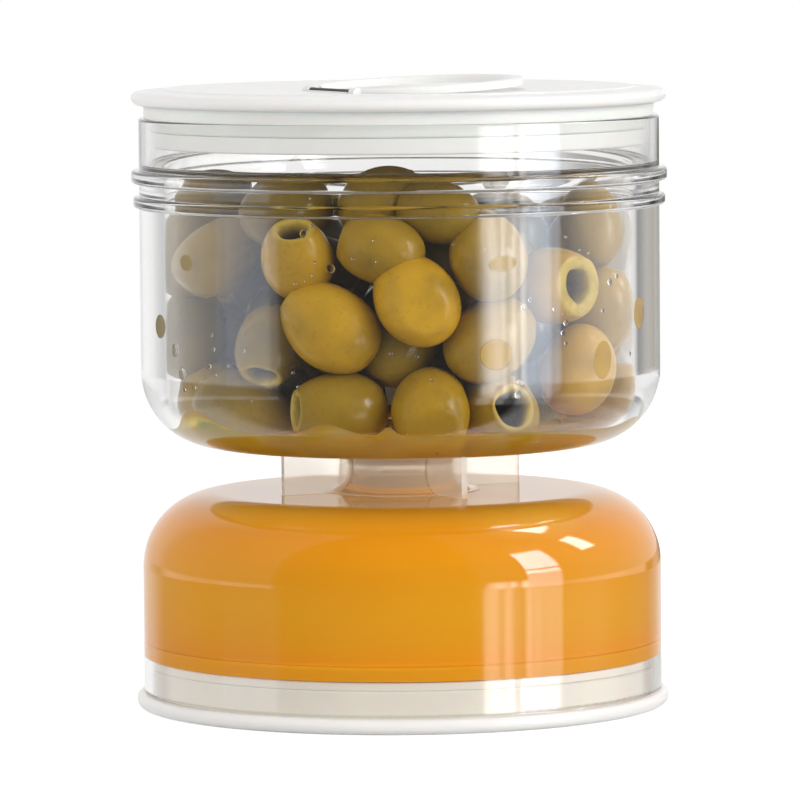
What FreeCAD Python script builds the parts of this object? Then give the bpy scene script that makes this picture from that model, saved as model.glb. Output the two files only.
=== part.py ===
import FreeCAD, Part

import math
import os

from FreeCAD import Vector

# Flip-over pickle keeper: two clear bowls joined mouth-outward by a ribbed waist, a push-in
# base cap below, a push-in lid with a swing-up pull ring above, and a lift-out strainer in
# the waist's bore.  Millimetres.  The floor is z = 0, the bowls' axis is the Z axis, and the
# pull ring's free end points along +X.

# ---- bowls
BOWL_RADIUS = 63.2            # outside of both bowls
BOWL_WALL = 6.0               # side wall
BOWL_FLOOR = 4.0              # closed end of each bowl, next to the waist
OUTER_CORNER = 18.0           # rounding from side wall to closed end, outside
INNER_CORNER = 12.0           # the same, inside
UPPER_BOWL_HEIGHT = 79.7
LOWER_BOWL_HEIGHT = 48.5
MOUTH_WALL = 2.3              # thinner wall round each mouth, where a plug goes in
MOUTH_DEPTH = 12.0
SHOULDER_ROUND = 0.9
RIM_ROUND = 0.6

# ---- grip beads round the upper bowl, measured down from its rim
HIGH_BEAD_DROP = 12.6
HIGH_BEAD_HEIGHT = 3.1
HIGH_BEAD_PROUD = 1.85
LOW_BEAD_DROP = 19.0
LOW_BEAD_HEIGHT = 2.6
LOW_BEAD_PROUD = 1.4
BEAD_ROUND = 0.7

# ---- waist between the bowls
WAIST_GAP = 11.4
BORE_RADIUS = 11.0
TUBE_WALL = 2.5
FLARE_LIP = 0.2               # edge of the flare, flat on the bowl
FLARE_STRAIGHT = 0.05         # straight bit at either end of the flare's curve
SPIGOT_WALL = 4.0             # spigot that is welded into each bowl's floor
SPIGOT_FIT = 0.05
RIB_COUNT = 4
RIB_REACH = 32.4              # from the axis to a rib's outer edge
RIB_THICKNESS = 1.5

# ---- strainer
STRAINER_FIT = 0.1
STRAINER_SKIRT_DEPTH = 6.0
STRAINER_SKIRT_WALL = 1.2
STRAINER_RIM = 6.0            # how far its disc laps over the bowl's floor
STRAINER_DISC = 1.6
STRAINER_SEAT_GAP = 0.1
HOLE_RADIUS = 1.3
HOLE_ROWS = ((4.6, 6), (7.9, 12))   # pitch radius and count of each row of holes
KNOB_STEM_RADIUS = 2.2
KNOB_RADIUS = 4.2
KNOB_HEIGHT = 9.0
KNOB_THICKNESS = 2.6
KNOB_ROUND = 0.85

# ---- what both caps share
FLANGE_OVERHANG = 1.7         # a cap's flange beyond the bowl
FLANGE_ROUND = 1.7
RIM_GAP = 0.1                 # cap to the rim of its bowl
PLUG_CLEARANCE = 0.4          # plug to mouth, on the radius
PLUG_WALL = 1.8               # wall behind a seal
PLUG_PLATE = 1.6
SEAL_DEPTH = 1.9              # from a plug's outside to the seat of its seal
SEAL_FIT = 0.1                # seal to mouth
SEAL_SEAT_FIT = 0.05          # seal to its seat
SEAL_ROUND = 0.7
SKIRT_WALL = 1.9              # ring on a cover that locates its plug
SKIRT_DEPTH = 4.9
SKIRT_FIT = 0.1

# ---- base cap
FOOT_THICKNESS = 3.6
FOOT_RECESS = 1.0             # hollow under the foot, inside its standing ring
FOOT_RING = 9.0
BASE_PLUG_REACH = 8.7
BASE_SEAL_DROP = 2.1          # plug's top to the seal's groove
BASE_SEAL_HEIGHT = 6.2

# ---- top lid
LID_THICKNESS = 3.8           # flange's underside to the top of its rim
LID_PLATE = 2.4
CROWN_HOLLOW = 0.9            # flat middle of the crown below its rim
CROWN_MARGIN = 2.5            # flat middle beyond the ring's pocket
LID_EDGE_BAND = 7.7           # sloping band round the flat crown
LID_EDGE_STEP = 0.25
LID_EDGE_SLOPE = 0.45
LID_EDGE_ROUND = 1.5
LID_SEAL_FLANGE = 3.1         # silicone between the lid's flange and the rim
LID_SEAL_SKIRT = 3.2          # the same seal, down the plug
LID_SEAL_INSET = 1.3          # from the bowl's outside to the seal's flange
LID_PLUG_REACH = 10.2

# ---- pull ring
RING_RADIUS = 26.0
RING_WIDTH = 3.0
RING_OFFSET = 5.0             # ring's centre from the lid's axis, along +X
RING_FIT = 0.5                # ring to the sides of its pocket
RING_THICKNESS = 1.9
RING_PROUD = 1.25             # ring's top above the crown, at its hinge
RING_TILT = 2.4               # degrees that the ring rises towards its free end
RING_ROUND = 0.7
POCKET_DEPTH = 1.6
POCKET_WALL = 2.0
HINGE_INSET = 3.0             # hinge line inside the ring's outer edge
HINGE_RISE = 0.1              # pin's centre above the crown
PIN_RADIUS = 0.8
PIN_FIT = 0.05
PIN_END_WALL = 0.6            # knuckle left closed past the pin's end
KNUCKLE_RADIUS = 1.25
KNUCKLE_WIDTH = 2.7
KNUCKLE_INSET = 1.42          # knuckle's inner end inside the ring's outer edge
SADDLE_RADIUS = 1.5
SADDLE_RISE = 0.2             # saddle's top above the pin's centre
SADDLE_FIT = 0.3
DISH_LAP = 1.3                # finger dish reaching under the ring
DISH_DEPTH = 4.6

# ---- radii that follow
inner_radius = BOWL_RADIUS - BOWL_WALL
mouth_radius = BOWL_RADIUS - MOUTH_WALL
plug_radius = mouth_radius - PLUG_CLEARANCE
seal_seat_radius = plug_radius - SEAL_DEPTH
seal_radius = mouth_radius - SEAL_FIT
seal_inner_radius = seal_seat_radius + SEAL_SEAT_FIT
plug_inner_radius = seal_seat_radius - PLUG_WALL
skirt_radius = plug_inner_radius - SKIRT_FIT
cap_radius = BOWL_RADIUS + FLANGE_OVERHANG
spigot_radius = BORE_RADIUS + SPIGOT_WALL
spigot_hole_radius = spigot_radius + SPIGOT_FIT
tube_radius = BORE_RADIUS + TUBE_WALL
ring_inner_radius = RING_RADIUS - RING_WIDTH
dish_radius = ring_inner_radius + DISH_LAP
crown_flat_radius = RING_OFFSET + RING_RADIUS + RING_FIT + CROWN_MARGIN
hinge_x = RING_OFFSET - RING_RADIUS + HINGE_INSET
arm_reach = math.sqrt(RING_RADIUS ** 2 - (RING_RADIUS - HINGE_INSET) ** 2)
pin_half_span = arm_reach - KNUCKLE_INSET     # pin seen between the ring's knuckles
pin_end = pin_half_span + KNUCKLE_WIDTH - PIN_END_WALL

# ---- heights that follow
foot_top = FOOT_THICKNESS
lower_rim = foot_top + RIM_GAP
lower_end = lower_rim + LOWER_BOWL_HEIGHT
upper_end = lower_end + WAIST_GAP
upper_floor = upper_end + BOWL_FLOOR
upper_rim = upper_end + UPPER_BOWL_HEIGHT
lid_underside = upper_rim + RIM_GAP + LID_SEAL_FLANGE
crown_rim = lid_underside + LID_THICKNESS
crown = crown_rim - CROWN_HOLLOW
pocket_floor = crown - POCKET_DEPTH
hinge_height = crown + HINGE_RISE

CUT = 1.0                     # how far a cutting tool runs past what it cuts
BIG = 400.0                   # a cutting tool larger than the whole keeper


def rounded_wire(corners):
    """Closed wire in the XZ plane through (radius, height, rounding) corners."""
    points = [Vector(radius, 0, height) for radius, height, rounding in corners]
    starts, ends, edges = [], [], []
    count = len(points)
    for index, (radius, height, rounding) in enumerate(corners):
        corner = points[index]
        before = (points[index - 1] - corner).normalize()
        after = (points[(index + 1) % count] - corner).normalize()
        if rounding == 0:
            starts.append(corner)
            ends.append(corner)
            continue
        half_turn = before.getAngle(after) / 2
        inward = (before + after).normalize()
        centre = corner + inward * (rounding / math.sin(half_turn))
        starts.append(corner + before * (rounding / math.tan(half_turn)))
        ends.append(corner + after * (rounding / math.tan(half_turn)))
        edges.append(Part.Arc(starts[-1], centre - inward * rounding, ends[-1]).toShape())
    for index in range(count):
        here = ends[index]
        there = starts[(index + 1) % count]
        if here.distanceToPoint(there) > 1e-6:
            edges.append(Part.LineSegment(here, there).toShape())
    return Part.Wire(Part.__sortEdges__(edges))


def turned(corners):
    """Solid of revolution about Z of a rounded outline."""
    return Part.Face(rounded_wire(corners)).revolve(Vector(0, 0, 0), Vector(0, 0, 1), 360)


def disc(radius, low, high, x=0.0):
    """Cylinder about a vertical axis through (x, 0)."""
    return Part.makeCylinder(radius, high - low, Vector(x, 0, low))


def block(low, high):
    """Box between two corners."""
    size = [high[axis] - low[axis] for axis in range(3)]
    return Part.makeBox(*size, Vector(*low))


def cross_rod(radius, half_length):
    """Cylinder along Y on the pull ring's hinge line."""
    start = Vector(hinge_x, -half_length, hinge_height)
    return Part.makeCylinder(radius, 2 * half_length, start, Vector(0, 1, 0))


def single(shape):
    """The one solid of a shape, with its seams merged."""
    merged = shape.removeSplitter()
    if len(merged.Solids) != 1:
        raise ValueError("expected one solid, got %d" % len(merged.Solids))
    return merged.Solids[0]


def bowl(end, side, height, beads=()):
    """A bowl with its closed end at height end and its mouth towards side (1 up, -1 down).
    Beads are (drop from the rim, height, how far proud)."""
    corners = [(spigot_hole_radius, 0, 0), (BOWL_RADIUS, 0, OUTER_CORNER)]
    for drop, tall, proud in beads:
        top = height - drop
        corners += [(BOWL_RADIUS, top - tall, 0), (BOWL_RADIUS + proud, top - tall, BEAD_ROUND),
                    (BOWL_RADIUS + proud, top, BEAD_ROUND), (BOWL_RADIUS, top, 0)]
    shoulder = height - MOUTH_DEPTH
    corners += [(BOWL_RADIUS, height, RIM_ROUND), (mouth_radius, height, RIM_ROUND),
                (mouth_radius, shoulder, SHOULDER_ROUND), (inner_radius, shoulder, SHOULDER_ROUND),
                (inner_radius, BOWL_FLOOR, INNER_CORNER), (spigot_hole_radius, BOWL_FLOOR, 0)]
    return single(turned([(radius, end + side * rise, rounding)
                          for radius, rise, rounding in corners]))


def upper_bowl():
    """Clear bowl for the pickles, with two grip beads under its rim."""
    beads = ((LOW_BEAD_DROP, LOW_BEAD_HEIGHT, LOW_BEAD_PROUD),
             (HIGH_BEAD_DROP, HIGH_BEAD_HEIGHT, HIGH_BEAD_PROUD))
    return bowl(upper_end, 1, UPPER_BOWL_HEIGHT, beads)


def lower_bowl():
    """Clear bowl for the brine, mouth down."""
    return bowl(lower_end, -1, LOWER_BOWL_HEIGHT)


def neck_core():
    """Waist tube with flared ends, a spigot into each bowl and radial ribs."""
    flare = WAIST_GAP / 2 - FLARE_LIP - FLARE_STRAIGHT
    flare_radius = tube_radius + flare + FLARE_STRAIGHT
    low = lower_end - BOWL_FLOOR
    core = turned([
        (BORE_RADIUS, low, 0), (spigot_radius, low, 0), (spigot_radius, lower_end, 0),
        (flare_radius, lower_end, 0), (flare_radius, lower_end + FLARE_LIP, 0),
        (tube_radius, lower_end + FLARE_LIP, flare), (tube_radius, upper_end - FLARE_LIP, flare),
        (flare_radius, upper_end - FLARE_LIP, 0), (flare_radius, upper_end, 0),
        (spigot_radius, upper_end, 0), (spigot_radius, upper_floor, 0),
        (BORE_RADIUS, upper_floor, 0)])
    for index in range(RIB_COUNT):
        rib = block((BORE_RADIUS + TUBE_WALL / 2, -RIB_THICKNESS / 2, lower_end),
                    (RIB_REACH, RIB_THICKNESS / 2, upper_end))
        rib.rotate(Vector(0, 0, 0), Vector(0, 0, 1), index * 360.0 / RIB_COUNT)
        core = core.fuse(rib)
    return single(core)


def strainer():
    """Perforated disc on the upper bowl's floor, with a skirt in the bore and a lift knob."""
    seat = upper_floor + STRAINER_SEAT_GAP
    top = seat + STRAINER_DISC
    skirt = BORE_RADIUS - STRAINER_FIT
    rim = BORE_RADIUS + STRAINER_RIM
    knob_low = top + KNOB_HEIGHT - KNOB_THICKNESS
    body = turned([
        (0, seat, 0), (skirt - STRAINER_SKIRT_WALL, seat, 0),
        (skirt - STRAINER_SKIRT_WALL, seat - STRAINER_SKIRT_DEPTH, 0),
        (skirt, seat - STRAINER_SKIRT_DEPTH, 0), (skirt, seat, 0), (rim, seat, 0),
        (rim, top, STRAINER_DISC / 2), (KNOB_STEM_RADIUS, top, 0),
        (KNOB_STEM_RADIUS, knob_low, 0), (KNOB_RADIUS, knob_low, KNOB_ROUND),
        (KNOB_RADIUS, top + KNOB_HEIGHT, KNOB_ROUND), (0, top + KNOB_HEIGHT, 0)])
    for pitch_radius, count in HOLE_ROWS:
        for index in range(count):
            hole = disc(HOLE_RADIUS, seat - CUT, top + CUT, pitch_radius)
            hole.rotate(Vector(0, 0, 0), Vector(0, 0, 1), index * 360.0 / count)
            body = body.cut(hole)
    return single(body)


def base_cover():
    """Foot flange that the keeper stands on, with the ring that locates the base plug."""
    ring_inside = cap_radius - FOOT_RING
    return single(turned([
        (0, FOOT_RECESS, 0), (ring_inside, FOOT_RECESS, 0), (ring_inside, 0, 0),
        (cap_radius, 0, FLANGE_ROUND), (cap_radius, foot_top, FLANGE_ROUND),
        (skirt_radius, foot_top, 0), (skirt_radius, foot_top + SKIRT_DEPTH, 0),
        (skirt_radius - SKIRT_WALL, foot_top + SKIRT_DEPTH, 0),
        (skirt_radius - SKIRT_WALL, foot_top, 0), (0, foot_top, 0)]))


def base_plug():
    """Inverted cup over the foot's ring, grooved for its seal."""
    top = foot_top + BASE_PLUG_REACH
    groove_top = top - BASE_SEAL_DROP
    groove_low = groove_top - BASE_SEAL_HEIGHT
    return single(turned([
        (0, top, 0), (plug_radius, top, RIM_ROUND), (plug_radius, groove_top, 0),
        (seal_seat_radius, groove_top, 0), (seal_seat_radius, groove_low, 0),
        (plug_radius, groove_low, 0), (plug_radius, foot_top, 0),
        (plug_inner_radius, foot_top, 0), (plug_inner_radius, top - PLUG_PLATE, 0),
        (0, top - PLUG_PLATE, 0)]))


def base_seal():
    """Silicone ring in the base plug's groove."""
    high = foot_top + BASE_PLUG_REACH - BASE_SEAL_DROP
    low = high - BASE_SEAL_HEIGHT
    return single(turned([
        (seal_inner_radius, low, 0), (seal_radius, low, SEAL_ROUND),
        (seal_radius, high, SEAL_ROUND), (seal_inner_radius, high, 0)]))


def top_lid_plug():
    """Cup under the lid; its upper part is set back for the seal."""
    low = lid_underside - LID_PLUG_REACH
    seal_low = lid_underside - LID_SEAL_FLANGE - LID_SEAL_SKIRT
    return single(turned([
        (0, low, 0), (plug_radius, low, RIM_ROUND), (plug_radius, seal_low, 0),
        (seal_seat_radius, seal_low, 0), (seal_seat_radius, lid_underside, 0),
        (plug_inner_radius, lid_underside, 0), (plug_inner_radius, low + PLUG_PLATE, 0),
        (0, low + PLUG_PLATE, 0)]))


def top_lid_seal():
    """Angle-section silicone: a flange on the upper bowl's rim and a skirt in its mouth."""
    flange_low = lid_underside - LID_SEAL_FLANGE
    skirt_low = flange_low - LID_SEAL_SKIRT
    flange_radius = BOWL_RADIUS - LID_SEAL_INSET
    return single(turned([
        (seal_inner_radius, skirt_low, 0), (seal_radius, skirt_low, SEAL_ROUND),
        (seal_radius, flange_low, 0), (flange_radius, flange_low, 0),
        (flange_radius, lid_underside, 0), (seal_inner_radius, lid_underside, 0)]))


def ring_disc(radius, low, high):
    """Cylinder about the pull ring's centre."""
    return disc(radius, low, high, RING_OFFSET)


def dish(extra):
    """Sphere whose lower cap is the finger dish, grown by extra."""
    sphere_radius = (dish_radius ** 2 + DISH_DEPTH ** 2) / (2 * DISH_DEPTH)
    centre = Vector(RING_OFFSET, 0, pocket_floor - DISH_DEPTH + sphere_radius)
    return Part.makeSphere(sphere_radius + extra, centre)


def pocket(grow, low, high):
    """Space for the closed ring and its knuckles, grown by grow."""
    back = hinge_x - KNUCKLE_RADIUS - RING_FIT - grow
    half_width = pin_half_span + KNUCKLE_WIDTH + RING_FIT + grow
    well = ring_disc(RING_RADIUS + RING_FIT + grow, low, high)
    well = well.common(block((back, -BIG, low), (BIG, BIG, high)))
    bay = block((back, -half_width, low), (hinge_x + 2 * KNUCKLE_RADIUS, half_width, high))
    return well.fuse(bay)


def top_lid_cover():
    """Dished crown and flange of the lid, with the ring's pocket, pin saddle and finger dish."""
    edge = crown_rim - LID_EDGE_STEP - LID_EDGE_SLOPE
    band = cap_radius - LID_EDGE_BAND
    cover = turned([
        (0, crown - LID_PLATE, 0), (skirt_radius - SKIRT_WALL, crown - LID_PLATE, 0),
        (skirt_radius - SKIRT_WALL, lid_underside - SKIRT_DEPTH, 0),
        (skirt_radius, lid_underside - SKIRT_DEPTH, 0), (skirt_radius, lid_underside, 0),
        (cap_radius, lid_underside, FLANGE_ROUND), (cap_radius, edge, LID_EDGE_ROUND),
        (band + LID_EDGE_STEP, crown_rim - LID_EDGE_STEP, 0), (band, crown_rim, 0),
        (crown_flat_radius, crown, 0), (0, crown, 0)])
    shell_low = pocket_floor - POCKET_WALL
    cover = cover.fuse(pocket(POCKET_WALL, shell_low, crown))
    cap_space = ring_disc(RING_RADIUS, shell_low - DISH_DEPTH - CUT, pocket_floor)
    cover = cover.fuse(dish(POCKET_WALL).common(cap_space))
    cover = cover.cut(pocket(0, pocket_floor, crown + CUT))
    scoop = ring_disc(RING_RADIUS, pocket_floor - DISH_DEPTH - CUT, pocket_floor + CUT)
    cover = cover.cut(dish(0).common(scoop))
    saddle_half = pin_half_span - SADDLE_FIT
    saddle = block((hinge_x - SADDLE_RADIUS, -saddle_half, pocket_floor - POCKET_WALL / 2),
                   (hinge_x + SADDLE_RADIUS, saddle_half, hinge_height + SADDLE_RISE))
    cover = cover.fuse(saddle)
    return single(cover.cut(cross_rod(PIN_RADIUS + PIN_FIT, saddle_half + SADDLE_FIT / 2)))


def pull_ring():
    """Swing-up ring, open at its hinge side, with a knuckle on each arm."""
    slab = block((-BIG, -BIG, -RING_THICKNESS), (BIG, BIG, 0))
    slab.rotate(Vector(0, 0, 0), Vector(0, 1, 0), -RING_TILT)
    slab.translate(Vector(hinge_x, 0, crown + RING_PROUD))
    band = ring_disc(RING_RADIUS, 0, BIG).cut(ring_disc(ring_inner_radius, -CUT, BIG + CUT))
    band = band.common(block((hinge_x, -BIG, 0), (BIG, BIG, BIG))).common(slab)
    band = band.cut(block((hinge_x - CUT, -pin_half_span, 0),
                          (hinge_x + SADDLE_RADIUS + RING_FIT, pin_half_span, BIG)))
    rims = [edge for edge in band.Edges if edge_is_on_top(edge)]
    band = band.makeFillet(RING_ROUND, rims)
    for side in (-1, 1):
        knuckle = cross_rod(KNUCKLE_RADIUS, KNUCKLE_WIDTH / 2)
        knuckle.translate(Vector(0, side * (pin_half_span + KNUCKLE_WIDTH / 2), 0))
        band = band.fuse(knuckle)
    return single(band.cut(cross_rod(PIN_RADIUS + PIN_FIT, pin_end)))


def edge_is_on_top(edge):
    """True for the curved edges of the ring's sloping top face."""
    middle = edge.valueAt((edge.FirstParameter + edge.LastParameter) / 2)
    on_plane = crown + RING_PROUD + (middle.x - hinge_x) * math.tan(math.radians(RING_TILT))
    return abs(middle.z - on_plane) < 1e-4 and edge.BoundBox.YLength > RING_WIDTH


def pull_ring_pin():
    """Steel pin snapped into the saddle; the ring's knuckles turn on its ends."""
    return single(cross_rod(PIN_RADIUS, pin_end - PIN_FIT))


NODES = {
    "base_cover": base_cover,
    "base_plug": base_plug,
    "base_seal": base_seal,
    "lower_bowl": lower_bowl,
    "neck_core": neck_core,
    "upper_bowl": upper_bowl,
    "strainer": strainer,
    "top_lid_plug": top_lid_plug,
    "top_lid_seal": top_lid_seal,
    "top_lid_cover": top_lid_cover,
    "pull_ring": pull_ring,
    "pull_ring_pin": pull_ring_pin,
}

os.makedirs("parts", exist_ok=True)
for name, make in NODES.items():
    solid = make()
    if not solid.isValid():
        raise ValueError("%s is not a valid solid" % name)
    solid.exportStep(os.path.join("parts", name + ".step"))
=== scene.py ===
import bmesh
import bpy
import math
import numpy as np
from mathutils import Matrix, Vector


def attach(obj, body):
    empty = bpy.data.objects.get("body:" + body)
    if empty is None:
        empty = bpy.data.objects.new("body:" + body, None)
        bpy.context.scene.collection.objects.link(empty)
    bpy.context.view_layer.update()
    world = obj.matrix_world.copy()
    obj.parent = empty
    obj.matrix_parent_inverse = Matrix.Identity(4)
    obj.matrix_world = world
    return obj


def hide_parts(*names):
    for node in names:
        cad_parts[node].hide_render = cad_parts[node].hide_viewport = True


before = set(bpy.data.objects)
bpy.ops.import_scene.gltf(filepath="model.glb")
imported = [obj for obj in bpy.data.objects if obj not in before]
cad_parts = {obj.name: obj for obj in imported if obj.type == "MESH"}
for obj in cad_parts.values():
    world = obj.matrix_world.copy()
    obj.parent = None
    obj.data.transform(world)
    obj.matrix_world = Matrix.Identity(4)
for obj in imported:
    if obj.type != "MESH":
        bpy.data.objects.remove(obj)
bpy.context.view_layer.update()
scene = bpy.context.scene
MM = 0.001                     # metres; lengths below are in mm unless a comment says otherwise
UP = Vector((0, 0, 1))


def polar(radius, turn, height):
    """Point at a radius from the bowls' axis and an angle (radians) round it."""
    return radius * math.cos(turn), radius * math.sin(turn), height


def rotated(x, y, turn):
    """The flat vector (x, y) turned by an angle in radians."""
    return x * math.cos(turn) - y * math.sin(turn), x * math.sin(turn) + y * math.cos(turn)


# -------- camera
# Object frame: Z is the bowls' axis, +X the pull ring's free end. The photograph looks from
# azimuth CAM_TURN, a little above the keeper, through a long lens.
IMAGE = 800.0                  # pixels, both ways
SENSOR = 36.0                  # its width
CAM_TURN = math.radians(-117.8)
CAM_DISTANCE = 1628.0          # from the bowls' axis
CAM_HEIGHT = 205.0
FOCAL_PIXELS = 6702.0          # focal length, counted in pixels
AIM_HEIGHT = 74.0
AIM_SIDE = -0.2                # along +X of the picture, from the bowls' axis
CAM_ROLL = math.radians(0.47)
NEAR_CLIP, FAR_CLIP = 0.05, 20                 # metres
AXIS_PIXEL = 400.4             # where the bowls' axis shows, halfway up

cam_place = Vector(polar(CAM_DISTANCE, CAM_TURN, CAM_HEIGHT))
toward_camera = Vector(polar(1, CAM_TURN, 0))
cam_aim = Vector((0, 0, AIM_HEIGHT)) + UP.cross(toward_camera) * AIM_SIDE
cam_look = (cam_aim - cam_place).normalized()
cam_right = cam_look.cross(UP).normalized()
cam_up = cam_right.cross(cam_look)
roll_right = cam_right * math.cos(CAM_ROLL) - cam_up * math.sin(CAM_ROLL)
roll_up = cam_right * math.sin(CAM_ROLL) + cam_up * math.cos(CAM_ROLL)
camera = bpy.data.objects.new("camera", bpy.data.cameras.new("camera"))
scene.collection.objects.link(camera)
camera.data.sensor_width = SENSOR
camera.data.lens = FOCAL_PIXELS * SENSOR / IMAGE
camera.data.clip_start, camera.data.clip_end = NEAR_CLIP, FAR_CLIP
cam_turn = Matrix((roll_right, roll_up, -cam_look)).transposed()
camera.matrix_world = Matrix.Translation(cam_place * MM) @ cam_turn.to_4x4()
scene.camera = camera


def pixel_ray(px, py):
    """Direction in which the camera sees a pixel."""
    return (cam_look * FOCAL_PIXELS + roll_right * (px - IMAGE / 2)
            - roll_up * (py - IMAGE / 2)).normalized()


WALL_IOR = 1.49
BOWL_RADIUS, INNER_RADIUS = 63.2, 57.2


def from_photo(px, py, radius):
    """Point at a radius from the axis, on the camera's side, that shows at a pixel through the
    upper bowl's wall."""
    ray = pixel_ray(px, py)
    flat = Vector((ray.x, ray.y))
    start = Vector((cam_place.x, cam_place.y))
    a, b, c = flat.dot(flat), flat.dot(start), start.dot(start) - radius * radius
    distance = (-b - math.sqrt(max(b * b - a * c, 0.0))) / a
    miss = (start + flat * (-b / a)).length * (1 if px > AXIS_PIXEL else -1)
    bend = 0.0                 # how far the wall turns the ray round the axis
    if abs(miss) < BOWL_RADIUS:
        ratio = max(-1.0, min(1.0, miss / INNER_RADIUS))
        bend = (math.asin(miss / BOWL_RADIUS) - math.asin(miss / BOWL_RADIUS / WALL_IOR)
                - math.asin(ratio) + math.asin(ratio / WALL_IOR))
    return Matrix.Rotation(bend, 3, "Z") @ (cam_place + ray * distance)


# -------- mesh helpers
SMOOTH_ANGLE = 35.0            # degrees; an edge sharper than this stays sharp


def smooth(mesh, angle=SMOOTH_ANGLE):
    """Smooth shading, with edges sharper than an angle in degrees kept."""
    for polygon in mesh.polygons:
        polygon.use_smooth = True
    mesh.set_sharp_from_angle(angle=math.radians(angle))


def add_mesh(name, verts, faces, material, smooth_angle=SMOOTH_ANGLE, scale=MM):
    """New object from points in mm, or in another unit if scale says how many metres it is."""
    mesh = bpy.data.meshes.new(name)
    mesh.from_pydata([tuple(c * scale for c in v) for v in verts], [], faces)
    mesh.validate()
    smooth(mesh, smooth_angle)
    mesh.update()
    mesh.materials.append(material)
    obj = bpy.data.objects.new(name, mesh)
    scene.collection.objects.link(obj)
    return obj


def face_outward(obj, weld=0.0):
    """Turn all faces outward, after joining points that are within weld metres."""
    bm = bmesh.new()
    bm.from_mesh(obj.data)
    if weld:
        bmesh.ops.remove_doubles(bm, verts=bm.verts, dist=weld)
    bmesh.ops.recalc_face_normals(bm, faces=bm.faces)
    bm.to_mesh(obj.data)
    bm.free()


def point_values(obj, key, values):
    """Attribute with one number per point, for a material to read."""
    layer = obj.data.attributes.new(key, "FLOAT", "POINT")
    layer.data.foreach_set("value", np.array(values, dtype=np.float32))


ARC_STEP = 5.0                 # degrees of a rounding between two points
LARGE_ROUNDING, SUPPORT = 8.0, 0.4     # a straight run keeps its normals up to the rounding
ON_AXIS = 1e-6                 # a point with a smaller radius lies on the axis


def outline(corners, closed=True):
    """Points of a rounded outline through (radius, height, rounding) corners."""
    points = [Vector((r, z)) for r, z, _ in corners]
    count, made = len(points), []
    for i, (_, _, rounding) in enumerate(corners):
        corner = points[i]
        if rounding == 0 or (not closed and i in (0, count - 1)):
            made.append(corner)
            continue
        before = (points[i - 1] - corner).normalized()
        after = (points[(i + 1) % count] - corner).normalized()
        half = before.angle(after) / 2
        reach = rounding / math.tan(half)
        centre = corner + (before + after).normalized() * (rounding / math.sin(half))
        start = corner + before * reach - centre
        end = corner + after * reach - centre
        sweep = math.atan2(start.cross(end), start.dot(end))
        steps = max(4, math.ceil(abs(math.degrees(sweep)) / ARC_STEP))
        arc = [centre + Vector(rotated(start.x, start.y, sweep * k / steps))
               for k in range(steps + 1)]
        if rounding > LARGE_ROUNDING:
            arc = [corner + before * (reach + SUPPORT), *arc, corner + after * (reach + SUPPORT)]
        made += arc
    return made


def lathe(name, corners, material, around=288, closed=True, smooth_angle=SMOOTH_ANGLE):
    """Surface of revolution about Z of a rounded outline."""
    verts, rings = [], []
    for p in outline(corners, closed):
        if p.x < ON_AXIS:
            rings.append([len(verts)])
            verts.append((0, 0, p.y))
            continue
        rings.append(list(range(len(verts), len(verts) + around)))
        verts += [polar(p.x, 2 * math.pi * k / around, p.y) for k in range(around)]
    faces = []
    for low, high in zip(rings, rings[1:] + (rings[:1] if closed else [])):
        for k in range(around):
            j = (k + 1) % around
            if len(low) == 1:
                faces.append((low[0], high[j], high[k]))
            elif len(high) == 1:
                faces.append((low[k], low[j], high[0]))
            else:
                faces.append((low[k], low[j], high[j], high[k]))
    obj = add_mesh(name, verts, faces, material, smooth_angle)
    face_outward(obj)
    return obj


# -------- materials
class Nodes:
    """Adds nodes to a tree. An input is a number, a colour or another node's socket."""

    def __init__(self, tree):
        self.nodes, self.links = tree.nodes, tree.links

    def node(self, kind, _inputs=None, **settings):
        made = self.nodes.new(kind)
        for key, value in settings.items():
            setattr(made, key, value)
        for key, value in (_inputs or {}).items():
            if isinstance(value, bpy.types.NodeSocket):
                self.links.new(value, made.inputs[key])
            else:
                made.inputs[key].default_value = value
        return made

    def math(self, operation, *values):
        return self.node("ShaderNodeMath", dict(enumerate(values)), operation=operation).outputs[0]

    def noise(self, scale, detail):
        where = self.node("ShaderNodeTexCoord").outputs["Object"]
        return self.node("ShaderNodeTexNoise", {"Vector": where, "Scale": scale,
                                                "Detail": detail}).outputs["Fac"]

    def ramp(self, fac, stops):
        """Colour ramp through (place, colour or grey level) stops."""
        made = self.node("ShaderNodeValToRGB", {"Fac": fac})
        elements = made.color_ramp.elements
        while len(elements) < len(stops):
            elements.new(0.5)
        for element, (place, colour) in zip(elements, stops):
            element.position = place
            element.color = (*colour, 1) if isinstance(colour, tuple) else (colour,) * 3 + (1,)
        return made.outputs["Color"]

    def mottled(self, scale, low, high, detail=3):
        """Colour that drifts between two over the surface."""
        return self.ramp(self.noise(scale, detail), [(0.3, low), (0.7, high)])

    def span(self, fac, low, high, from_low, from_high):
        """A value mapped from one range to another and held within it."""
        return self.node("ShaderNodeMapRange", {
            "Value": fac, "From Min": from_low, "From Max": from_high,
            "To Min": low, "To Max": high}).outputs["Result"]

    def mix(self, fac, a, b, mode="MIX"):
        made = self.node("ShaderNodeMix", data_type="RGBA", blend_type=mode)
        for key, value in (("Factor", fac), ("A", a), ("B", b)):
            wanted = "VALUE" if key == "Factor" else "RGBA"
            socket = [s for s in made.inputs if s.name == key and s.type == wanted][0]
            if isinstance(value, bpy.types.NodeSocket):
                self.links.new(value, socket)
            else:
                socket.default_value = value if key == "Factor" else (*value, 1)
        return [s for s in made.outputs if s.type == "RGBA"][0]

    def mix_shader(self, fac, a, b):
        return self.node("ShaderNodeMixShader", {0: fac, 1: a, 2: b}).outputs[0]


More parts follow.
